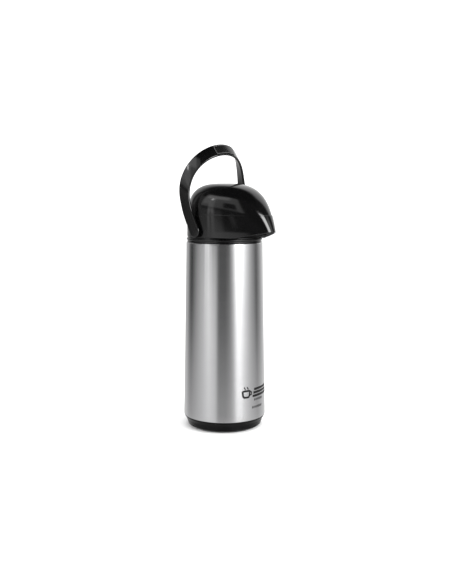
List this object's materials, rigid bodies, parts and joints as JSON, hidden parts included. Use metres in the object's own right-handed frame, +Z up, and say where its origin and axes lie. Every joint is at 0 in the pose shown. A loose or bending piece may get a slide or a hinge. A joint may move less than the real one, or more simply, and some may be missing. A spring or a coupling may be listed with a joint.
{
  "type": "thermal coffee airpot",
  "caption": "Tall press-pump vacuum flask: steel sleeve, black base, domed head with a beaked spout that pumps when pressed, and a bent hoop carry handle.",
  "frame": {"origin": "middle of the flat underside of the base, on the flask's axis", "axes": "+Z up along the flask's axis; the beak points along -Y; the handle turns about the X axis"},
  "size_m": [0.1126, 0.1412, 0.375],
  "materials": {
    "black_gloss": "gloss",
    "black_satin": "satin",
    "sleeve_steel": "brushed",
    "fixings": "satin",
    "rubber": "matte",
    "natural_plastic": "satin",
    "silvered_glass": "gloss"
  },
  "bodies": {
    "flask": {"base_cap": "black_satin", "foot_pad": "rubber", "flask_support": "rubber", "glass_outer": "silvered_glass", "glass_inner": "silvered_glass", "steel_sleeve": "sleeve_steel", "neck_collar": "black_gloss", "neck_cushion": "rubber", "neck_gasket": "rubber"},
    "head": {"pump_base": "black_satin", "stopper_ring": "rubber", "dip_tube": "natural_plastic", "valve_seat": "natural_plastic", "spout_tube": "black_satin", "beak_tray": "black_satin", "head_shell": "black_gloss", "head_screws": "fixings", "bellows": "rubber", "bellows_ring": "black_satin", "return_spring": "fixings", "air_flap": "rubber", "pivot_pins": "fixings"},
    "ball": {"valve_ball": "fixings"},
    "cover": {"press_plate": "black_satin", "inlet_flap": "rubber", "cover_screws": "fixings", "press_cover": "black_gloss"},
    "handle": {"handle": "black_gloss", "handle_grip": "rubber"}
  },
  "joints": [
    {"name": "head_lift", "type": "slide", "parent": "flask", "child": "head", "axis": [0, 0, 1], "range_m": [0, 0.22]},
    {"name": "pump_press", "type": "slide", "parent": "head", "child": "cover", "axis": [0, 0, -1], "range_m": [0, 0.0125], "stiffness_N_per_m": 600, "springref_m": -0.01, "deforming": ["bellows", "return_spring"]},
    {"name": "ball_lift", "type": "slide", "parent": "head", "child": "ball", "axis": [0, 0, 1], "range_m": [0, 0.00125]},
    {"name": "handle_swing", "type": "hinge", "parent": "head", "child": "handle", "pos_m": [0, 0, 0.2631], "axis": [1, 0, 0], "range_deg": [-138, 142]}
  ],
  "couplings": [
    {"joint": "ball_lift", "follows": "pump_press", "ratio": 0.1}
  ]
}
